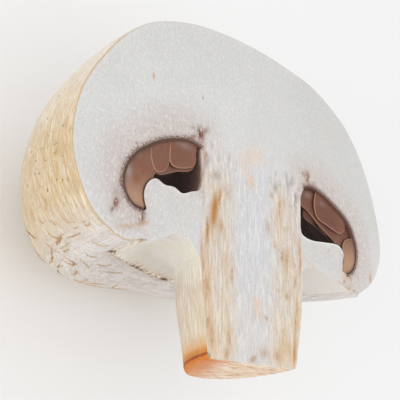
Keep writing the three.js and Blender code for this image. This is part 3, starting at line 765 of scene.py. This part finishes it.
def makeSliced(side, back, edge, seed):
    # a blade that lies along the cut: its free edge is drawn, and the rest of it follows its root
    free = smoothLine(edge, 70)
    root = roofLine(side * math.pi, 80)
    last, first = (int(np.argmin(np.hypot(*(root - free[k]).T))) for k in (-1, 0))
    step = 1 if first > last else -1
    rooted = root[np.arange(last + step, first, step)]
    inwards = np.array(shape["chamberMiddle"]) - rooted
    rooted = rooted + inwards / np.linalg.norm(inwards, axis=1)[:, None] * gills["rootGap"]
    outline = np.vstack([free, rooted])
    flat, triangles = fillOutline(outline, [], gills["plateSpacing"], 0.2)
    radius, height = flat.T
    toEdge = distanceTo(radius, height, free, closed=False)
    toRoot = distanceTo(radius, height, root, closed=False)
    place = np.stack([radius, height, np.full(len(flat), seed * 2.3)], 1)
    ripple = gills["ripple"] * roughness(place, gills["rippleSize"])
    lip = gills["lip"] * (1 - smoothStep(toEdge, 0, 0.22))
    front = -back - lip + ripple * smoothStep(toEdge, 0, 0.8)
    x = radius if side else -radius
    sheets = [np.stack([x, height, z], 1) for z in (front, np.full(len(flat), -back - gills["thickness"]))]
    count, ring = len(flat), len(outline)
    faces = [f if side else f[::-1] for f in triangles]
    faces += [tuple(k + count for k in f[::-1]) for f in faces]
    following = np.roll(outline, -1, axis=0)
    leftwards = np.sum(outline[:, 0] * following[:, 1] - outline[:, 1] * following[:, 0]) > 0
    for a in range(ring):
        b = (a + 1) % ring
        quad = (b, a, a + count, b + count)
        faces.append(quad if leftwards == bool(side) else quad[::-1])
    values = dict(
        grain=np.tile(np.stack([radius, height, np.full(count, 50 + seed * 3.7)], 1), (2, 1)),
        edge=np.tile(toEdge, 2), root=np.tile(toRoot, 2), tip=np.tile(tipShare(radius, height), 2),
        **{k: np.tile(marks(gills[k], x, height), 2) for k in ("rusty", "dusty", "browned")},
        depth=np.full(2 * count, float(back)),
    )
    return dict(points=np.vstack(sheets), faces=faces, finish=0, values=values)


def makeBed():
    # the brown layer under the chamber's roof that the blades grow from
    angles = np.linspace(0, math.pi, gills["bedColumns"])
    grid = []
    for angle in angles:
        root = roofLine(angle)
        run = np.gradient(root, axis=0)
        inwards = np.stack([run[:, 1], -run[:, 0]], 1) / np.linalg.norm(run, axis=1)[:, None]
        deep = across(gills["bed"], angle)
        section = np.vstack([root + inwards * gills["bedGap"], (root + inwards * deep)[::-1]])
        grid.append(around(np.vstack([section, section[:1]]), angle))
    grid = np.array(grid)
    grid[[0, -1], :, 2] = -gills["bedBehind"]
    rows = grid.shape[1]
    faces = [f[::-1] for f in gridFaces(len(angles), rows)]
    count = rows - 1
    last = (len(angles) - 1) * rows
    for k in range(count // 2 - 1):
        a, b = k, count - 1 - k
        faces.append((a, b, b - 1, a + 1))
        faces.append((last + a + 1, last + b - 1, last + b, last + a))
    points = grid.reshape(-1, 3)
    none = np.zeros(len(points))
    values = dict(grain=points, edge=none + 2, root=none - 1, tip=none, depth=-points[:, 2])
    return dict(points=points, faces=faces, finish=0, values=values)


# Finishes
paintedSoakedGlow = "#251e1c"  # painted glow: an emission colour for the light that comes through the flesh into the dark of the chamber


def rawColour(code):
    # an sRGB hex colour, turned linear
    channels = [int(code[k:k + 2], 16) / 255 for k in (1, 3, 5)]
    return [c / 12.92 if c <= 0.04045 else ((c + 0.055) / 1.055) ** 2.4 for c in channels] + [1]


def add(tree, kind, inputs=None, **settings):
    node = tree.nodes.new("ShaderNode" + kind)
    for name, value in settings.items():
        setattr(node, name, value)
    for key, value in (inputs or {}).items():
        if isinstance(value, bpy.types.NodeSocket):
            tree.links.new(value, node.inputs[key])
        else:
            node.inputs[key].default_value = value
    return node


def newMaterial(name, roughness, ior, translucency):
    # translucency: share of light that travels through the flesh, and how far, in mm
    material = bpy.data.materials.new(name)
    material.use_nodes = True
    tree = material.node_tree
    shader = tree.nodes["Principled BSDF"]
    shader.inputs["Roughness"].default_value = roughness
    shader.inputs["IOR"].default_value = ior
    shader.inputs["Subsurface Weight"].default_value = translucency[0]
    shader.inputs["Subsurface Scale"].default_value = translucency[1] * mm
    shader.inputs["Subsurface Radius"].default_value = (1.0, 0.7, 0.5)
    return material, tree, shader


def reading(tree, value, vector=False):
    # a name stands for the numbers that the face corners carry
    if not isinstance(value, str):
        return value
    return add(tree, "Attribute", attribute_name=value).outputs["Vector" if vector else "Fac"]


def fade(tree, value, start, end):
    # 0 at start, 1 at end, also where end is the smaller
    return add(tree, "MapRange", {"Value": reading(tree, value), "From Min": start, "From Max": end},
               interpolation_type="SMOOTHSTEP").outputs[0]


def speckle(tree, grain, size, low, high, detail=3, seed=0.0):
    # a 0 to 1 mask of lumps of the given size in mm, along each axis of the grain
    scaled = add(tree, "VectorMath", {0: grain, 1: [1 / s for s in size]}, operation="MULTIPLY")
    shift = (seed, seed * 1.7, seed * 0.6)
    moved = add(tree, "VectorMath", {0: scaled.outputs[0], 1: shift}, operation="ADD")
    settings = {"Vector": moved.outputs[0], "Scale": 1, "Detail": detail, "Roughness": 0.6}
    return fade(tree, add(tree, "TexNoise", settings).outputs[0], low, high)


def times(tree, first, *others):
    product = reading(tree, first)
    for other in others:
        product = add(tree, "Math", {0: product, 1: reading(tree, other)}, operation="MULTIPLY").outputs[0]
    return product


def summed(tree, a, b):
    return add(tree, "Math", {0: reading(tree, a), 1: reading(tree, b)}, operation="ADD").outputs[0]


def sloped(tree, value, slope, base):
    # base, and slope times the value
    inputs = {0: reading(tree, value), 1: slope, 2: base}
    return add(tree, "Math", inputs, operation="MULTIPLY_ADD").outputs[0]


def paint(tree, shader, ground, coats):
    # each coat is a colour and the masks that it goes on by, multiplied
    colour = rawColour(ground)
    for shade, *masks in coats:
        inputs = {0: times(tree, *masks), 6: colour, 7: rawColour(shade)}
        colour = add(tree, "Mix", inputs, data_type="RGBA").outputs[2]
    tree.links.new(colour, shader.inputs["Base Color"])


def bumps(tree, shader, height, depth):
    # bumps of the given depth in mm
    bump = add(tree, "Bump", {"Height": height, "Strength": 1, "Distance": depth * mm})
    tree.links.new(bump.outputs[0], shader.inputs["Normal"])


def cutFleshFinish():
    # raw flesh sliced with a knife: matt, cool white, a fine felt of threads, fibrous down the stem
    material, tree, shader = newMaterial("rawFleshCut", 0.6, 1.36, (0.1, 1.0))
    grain = reading(tree, "grain", vector=True)
    felt = speckle(tree, grain, (0.3, 0.42, 1), 0.34, 0.66, 4)
    pale = speckle(tree, grain, (0.22, 0.34, 1), 0.48, 0.7, 3, 31)
    cloudy = speckle(tree, grain, (5, 5, 1), 0.35, 0.65, 2, 4)
    clots = speckle(tree, grain, (1.1, 1.4, 1), 0.42, 0.64, 3, 52)
    threads = speckle(tree, grain, (0.17, 1.9, 1), 0.4, 0.64, 3, 9)
    paleThreads = speckle(tree, grain, (0.18, 1.5, 1), 0.46, 0.66, 3, 27)
    streaks = speckle(tree, grain, (0.5, 3.2, 1), 0.46, 0.62, 3, 15)
    ragged = speckle(tree, grain, (0.24, 0.9, 1), 0.3, 0.46, 4, 21)
    specked = speckle(tree, grain, (0.2, 0.4, 1), 0.38, 0.5, 4, 44)
    grained = speckle(tree, grain, (0.2, 1.6, 1), 0.32, 0.6, 3, 81)
    fuzz = speckle(tree, grain, (0.15, 0.2, 1), 0.3, 0.7, 3, 70)
    fromRoot = summed(tree, "rootEdge", times(tree, fuzz, 0.42))
    paint(tree, shader, "#e0e0df", [
        ("#d9d9d6", cloudy, 0.5),
        # painted shade towards the right and the top of the cut face
        ("#d7d7d4", "damp", 0.75),
        ("#d9cdc8", "bruised", 0.85),
        ("#cdbfb9", "bruised", clots, 0.4),
        ("#c3bab5", felt, sloped(tree, "bruised", 0.5, 0.2)),
        ("#edeae8", pale, sloped(tree, "bruised", 0.3, 0.22)),
        ("#e3e3e7", "fibrous", 0.75),
        ("#efe3d5", "stemSide", 0.6),
        ("#efdac0", "fibrous", "stemLow", 0.2),
        ("#f5e4ca", "stemSide", "stemLow", 0.5),
        ("#e2c294", "stemSide", streaks, 0.38),
        ("#cfae86", "stemSide", threads, 0.36),
        ("#c3bdb9", "fibrous", threads, 0.12),
        ("#f4f1ee", "fibrous", paleThreads, 0.65),
        ("#dcb26a", "straw", sloped(tree, grained, 0.5, 0.25)),
        # painted shade: grey in the small hollows where the threads tore
        ("#a39a90", "creviced", 0.5),
        ("#efcfad", "peach", 0.8),
        ("#c48d4c", "tan", ragged),
        ("#83523c", "brown", specked),
        ("#a88d80", fade(tree, fromRoot, 1.1, 0.35), 0.4),
        ("#684838", fade(tree, fromRoot, 0.62, 0.26), 0.85),
        ("#f4f2ef", "floorEdge", 0.8),
        # a painted highlight: a lighter strip on the cut face just inside the skin, then the tan line of the
        # skin's edge
        ("#e4e2e0", fade(tree, "rim", 0.6, 0.3), "skinLine", 0.4),
        ("#cfaa7c", fade(tree, "rim", 0.2, 0.04), "skinLine", 0.85),
    ])
    bumps(tree, shader, summed(tree, times(tree, threads, "fibrous"), felt), 0.06)
    return material


def capSkinFinish():
    # the cap's dry skin: fibrils combed down from the crown, tan where it has dried, paler at the margin
    material, tree, shader = newMaterial("driedCapSkin", 0.62, 1.38, (0.08, 0.8))
    grain = reading(tree, "grain", vector=True)
    fine = speckle(tree, grain, (0.15, 1.6, 1), 0.4, 0.62, 4)
    pale = speckle(tree, grain, (0.17, 2.2, 1), 0.46, 0.66, 3, 11)
    broad = speckle(tree, grain, (0.9, 6, 1), 0.4, 0.62, 3, 6)
    patches = speckle(tree, grain, (5, 7, 1), 0.36, 0.66, 3, 12)
    dashes = speckle(tree, grain, (0.22, 0.7, 1), 0.58, 0.7, 3, 37)
    specks = speckle(tree, grain, (0.36, 0.5, 1), 0.66, 0.74, 2, 18)
    wrinkles = speckle(tree, grain, (2, 0.24, 1), 0.5, 0.64, 3, 24)
    paleWrinkles = speckle(tree, grain, (2.2, 0.3, 1), 0.5, 0.66, 3, 61)
    ragged = speckle(tree, grain, (0.6, 0.3, 1), 0.46, 0.58, 3, 5)
    paint(tree, shader, "#e6d9c4", [
        ("#d3b683", "beltShare", 0.35),
        ("#d8bf90", patches, "beltShare", 0.75),
        ("#f4ebe1", "crownShare", 0.85),
        ("#d4b788", broad, sloped(tree, "beltShare", 0.37, 0.1)),
        ("#ebe5e0", "marginShare", 0.85),
        ("#c4a272", fine, sloped(tree, "beltShare", 0.38, 0.12)),
        ("#f2e8da", pale, 0.55),
        ("#b98d56", dashes, "beltShare", 0.55),
        ("#d3bda0", "marginShare", wrinkles, 0.42),
        ("#efe9e2", "marginShare", paleWrinkles, 0.5),
        ("#96683c", specks, 0.7),
        ("#dcbd90", fade(tree, "rim", 0.35, 0.05), 0.6),
        ("#dfd7d0", "marginShare", "rightShare", 0.7),
        # painted light: paler on the margin's underside towards the torn veil, which faces down away from the
        # light
        ("#f5eef0", fade(tree, "fromTorn", -6, -1.5), 0.5),
        ("#efe8da", fade(tree, "fromTorn", -0.9, -0.4), 0.5),
        ("#b98444", "tornTan", ragged, sloped(tree, "rightShare", -0.6, 0.75)),
        ("#643a22", "tornSpots"),
    ])
    bumps(tree, shader, summed(tree, fine, times(tree, wrinkles, "marginShare")), 0.06)
    return material


def stemSkinFinish():
    # the veil stretched smooth over the stem's top, then the stem's rind: lengthwise fibres, yellow and
    # orange where it has dried towards the trimmed end
    material, tree, shader = newMaterial("stretchedVeilAndRind", 0.58, 1.38, (0.1, 1.0))
    grain = reading(tree, "stemGrain", vector=True)
    fine = speckle(tree, grain, (0.15, 2.6, 1), 0.4, 0.62, 3, 2)
    pale = speckle(tree, grain, (0.17, 2.8, 1), 0.46, 0.66, 3, 19)
    broad = speckle(tree, grain, (0.8, 6, 1), 0.38, 0.62, 3, 7)
    cloudy = speckle(tree, grain, (2, 2.4, 1), 0.36, 0.66, 2, 8)
    ragged = speckle(tree, grain, (0.35, 0.3, 1), 0.46, 0.56, 3, 5)
    uneven = speckle(tree, grain, (0.5, 0.4, 1), 0.35, 0.6, 3, 33)
    notVeil = sloped(tree, "veilShare", -1, 1)
    glow = sloped(tree, "leftShare", 0.3, 0.6)
    fromRight = sloped(tree, "rightShare", -0.7, 1)
    toCrease = add(tree, "Math", {0: summed(tree, "fromEnd", 0.1)}, operation="ABSOLUTE").outputs[0]
    burnt = times(tree, fade(tree, toCrease, 0.17, 0.02), sloped(tree, "leftShare", 0.85, 0.1))
    paint(tree, shader, "#e4dacb", [
        ("#d7c3a2", broad, notVeil, 0.3),
        ("#e8d8ba", "stemDown", 0.7),
        ("#cbb394", fine, notVeil, 0.5),
        ("#e0dbd4", "veilShare", 0.9),
        ("#dcdac8", "veilShare", cloudy, 0.6),
        ("#cdbca6", "veilShare", fine, 0.3),
        ("#f1ebe3", pale, 0.3),
        ("#dcd7d2", "veilShare", "rightShare", 0.85),
        ("#e0ab68", fade(tree, "fromEnd", 2.3, 0.2), glow),
        ("#d08238", fade(tree, "fromEnd", 0.9, 0.1), glow),
        ("#8c2c04", burnt, sloped(tree, uneven, 0.4, 0.6)),
        ("#f2ece0", fade(tree, "fromTorn", 1.1, 0.6), fromRight, 0.8),
        ("#b98444", "tornTan", ragged, fromRight),
        ("#643a22", "tornSpots"),
    ])
    bumps(tree, shader, times(tree, fine, sloped(tree, notVeil, 1, 0.3)), 0.05)
    return material


def trimmedEndFinish():
    # the cut end of the stem, dried: cream and peach fibres torn sideways by the knife, and orange-brown
    # at its edge
    material, tree, shader = newMaterial("driedStemEnd", 0.62, 1.38, (0.1, 1.0))
    place = add(tree, "NewGeometry").outputs["Position"]
    mottled = speckle(tree, place, (1.5 * mm, 0.5 * mm, 0.28 * mm), 0.38, 0.62, 4, 2)
    streaks = speckle(tree, place, (2.4 * mm, 0.6 * mm, 0.3 * mm), 0.48, 0.62, 4, 9)
    paint(tree, shader, "#f2d3b2", [
        ("#fbeedd", mottled, 0.8),
        ("#c98d5a", streaks, 0.75),
        ("#d87a22", fade(tree, "endRadius", 0.35, 0.9), "leftShare", 0.85),
        ("#d9812c", fade(tree, "endRadius", 0.88, 1.0)),
        ("#96380c", fade(tree, "endRadius", 0.985, 1.0), "leftShare", 0.9),
    ])
    bumps(tree, shader, mottled, 0.08)
    return material


def chamberWallFinish():
    # the inside of the gill chamber: white at the knife's edge, brown with spores and painted shade further
    # in
    material, tree, shader = newMaterial("sporeStainedWallPaintedShade", 0.7, 1.38, (0.0, 0.5))
    grain = reading(tree, "grain", vector=True)
    uneven = speckle(tree, grain, (0.9, 0.9, 0.9), 0.3, 0.7, 3, 4)
    depth = summed(tree, "depth", times(tree, uneven, -0.25))
    paint(tree, shader, "#d9cabd", [
        # spore brown and painted shade, darker the further behind the cut
        ("#7c5a48", fade(tree, depth, -0.1, 0.35)),
        ("#5c473f", fade(tree, depth, 0.3, 1.2)),
        ("#463630", uneven, 0.4),
    ])
    # a painted glow: emission for a little of the light that soaks through the flesh around it
    shader.inputs["Emission Color"].default_value = rawColour(paintedSoakedGlow)
    shader.inputs["Emission Strength"].default_value = 0.9
    bumps(tree, shader, uneven, 0.05)
    return material


def tornScaleFinish():
    # scales of skin that lifted and dried: brown and dull, darkest where they are thickest
    material, tree, shader = newMaterial("curledSkinScale", 0.7, 1.38, (0.0, 0.5))
    grain = reading(tree, "grain", vector=True)
    mottled = speckle(tree, grain, (0.25, 0.25, 0.25), 0.35, 0.65, 3, 4)
    paint(tree, shader, "#dcc29a", [
        ("#a4682c", "shade"),
        ("#c99f6c", mottled, 0.35),
        ("#5a3822", fade(tree, "shade", 0.8, 1.4)),
    ])
    bumps(tree, shader, mottled, 0.03)
    return material


def gillFinish():
    # gill tissue: warm brown, smooth and slightly moist, with a painted highlight along the free edge, and
    # darker within, spore brown with painted shade
    material, tree, shader = newMaterial("dampGills", 0.5, 1.38, (0.06, 0.4))
    grain = reading(tree, "grain", vector=True)
    cloudy = speckle(tree, grain, (1.4, 1.9, 1), 0.34, 0.66, 2, 3)
    fine = speckle(tree, grain, (0.2, 0.6, 1), 0.35, 0.65, 4, 6)
    paint(tree, shader, "#835946", [
        ("#774f41", cloudy, 0.6),
        # turned brown, and painted shade over the right chamber
        ("#622f1b", "browned", 0.85),
        ("#a0735e", fine, 0.15),
        ("#bb967a", "tip", 0.85),
        ("#8f4c33", "rusty", 0.85),
        # dusted grey, with a painted sheen
        ("#a2928a", "dusty", 0.9),
        # a painted highlight along the free edge
        ("#b98d76", fade(tree, "edge", 0.16, 0.03), 0.75),
        ("#6b4536", fade(tree, "root", 0.8, 0.15), 0.35),
        # spore brown and painted shade, darker the further behind the cut
        ("#5e3c2e", fade(tree, "depth", 0.3, 0.55), 0.25),
        ("#54423c", fade(tree, "depth", 0.6, 1.3)),
        ("#5f4033", fade(tree, "root", 0.0, -0.5)),
    ])
    # deep in, a painted glow: emission for a little of the light that soaks through the flesh
    inputs = {0: fade(tree, "depth", 0.7, 1.6), 6: rawColour("#000000"), 7: rawColour(paintedSoakedGlow)}
    paintedGlowColour = add(tree, "Mix", inputs, data_type="RGBA").outputs[2]
    tree.links.new(paintedGlowColour, shader.inputs["Emission Color"])
    shader.inputs["Emission Strength"].default_value = 0.9
    bumps(tree, shader, fine, 0.02)
    return material


# The pieces
outsideRegion, body = makeOutside()
chamberRegion, chamberGrid = makeChamber()
cutRegion = makeCutFace(body["grid"], chamberGrid)
fleshFinishes = [cutFleshFinish(), capSkinFinish(), stemSkinFinish(), trimmedEndFinish(),
                 chamberWallFinish(), tornScaleFinish()]
fleshRegions = [outsideRegion, chamberRegion, cutRegion, *makeScales(body)]
flesh = joinRegions("mushroomHalf", fleshRegions, fleshFinishes)
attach(flesh, "root")
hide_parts("mushroom_flesh")
print("flesh:", len(flesh.data.polygons), "faces")

blades = [makeBed()]
firstAngle = math.radians(gills["firstAngle"])
for index in range(gills["count"]):
    angle = firstAngle + (index + 0.5) * (math.pi - 2 * firstAngle) / gills["count"]
    start = gills["starts"][index % len(gills["starts"])]
    hang = 1 - gills["hang"] * (0.5 + 0.5 * noise.noise(Vector((index * 0.77, 0.3, 0))))
    blades.append(makeBlade(angle, start, hang, index))
for index, (side, back, edge) in enumerate(gills["sliced"]):
    blades.append(makeSliced(side, back, edge, index))
fan = joinRegions("gillFan", blades, [gillFinish()])
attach(fan, "root")
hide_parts("gills")
print("gills:", len(blades) - 1, "blades,", len(fan.data.polygons), "faces")


# Floor, light and camera
def makeStage():
    bpy.ops.mesh.primitive_plane_add(size=4)
    floor = bpy.context.object
    floor.name = "floor"
    material = bpy.data.materials.new("paleFloor")
    material.use_nodes = True
    material.node_tree.nodes["Principled BSDF"].inputs["Base Color"].default_value = rawColour("#f2f2f2")
    material.node_tree.nodes["Principled BSDF"].inputs["Roughness"].default_value = 0.9
    floor.data.materials.append(material)


studio = dict(
    sky=0.885,
    # softboxes: azimuth and elevation in degrees, distance and width in metres, power in watts
    softboxes=[(-60, 62, 0.6, 0.5, 0.4), (60, 55, 0.7, 0.5, 0.15), (-80, 12, 0.5, 0.45, 0.8)],
)


def makeLight():
    # whites stay white, as on a studio backdrop
    bpy.context.scene.view_settings.view_transform = "Standard"
    world = bpy.data.worlds.new("studio")
    bpy.context.scene.world = world
    world.use_nodes = True
    world.node_tree.nodes["Background"].inputs["Color"].default_value = (1, 1, 1, 1)
    world.node_tree.nodes["Background"].inputs["Strength"].default_value = studio["sky"]
    for index, (azimuth, elevation, distance, width, power) in enumerate(studio["softboxes"]):
        lamp = bpy.data.lights.new(f"softbox{index + 1}", "AREA")
        lamp.shape = "DISK"
        lamp.size = width
        lamp.energy = power
        holder = bpy.data.objects.new(lamp.name, lamp)
        a, e = math.radians(azimuth), math.radians(elevation)
        towards = Vector((math.sin(a) * math.cos(e), -math.cos(a) * math.cos(e), math.sin(e)))
        holder.location = towards * distance
        holder.rotation_euler = towards.to_track_quat("Z", "Y").to_euler()
        bpy.context.collection.objects.link(holder)


cameraView = dict(
    azimuth=-68.529, elevation=40.104, roll=-0.483,  # degrees; the picture's up is the mushroom's crown
    distance=92.5, sideways=-5.916, upwards=-4.806,  # mm, from the mushroom's own origin
    fieldOfView=26,
)


def makeCamera():
    a, e, roll = (math.radians(cameraView[k]) for k in ("azimuth", "elevation", "roll"))
    back = Vector((math.sin(a) * math.cos(e), -math.cos(a) * math.cos(e), math.sin(e)))
    crown = (Vector((0, 1, 0)) - back * back.y).normalized()
    side = crown.cross(back)
    up = crown * math.cos(roll) + side * math.sin(roll)
    right = side * math.cos(roll) - crown * math.sin(roll)
    place = back * cameraView["distance"] + right * cameraView["sideways"] + up * cameraView["upwards"]
    data = bpy.data.cameras.new("camera")
    data.angle = math.radians(cameraView["fieldOfView"])
    data.clip_start = 0.001
    camera = bpy.data.objects.new("camera", data)
    turn = Matrix((right, up, back)).transposed().to_4x4()
    camera.matrix_world = Matrix.Translation(toScene([place])[0]) @ turn
    bpy.context.collection.objects.link(camera)
    bpy.context.scene.camera = camera


makeStage()
makeLight()
makeCamera()
print("stage, light and camera set")
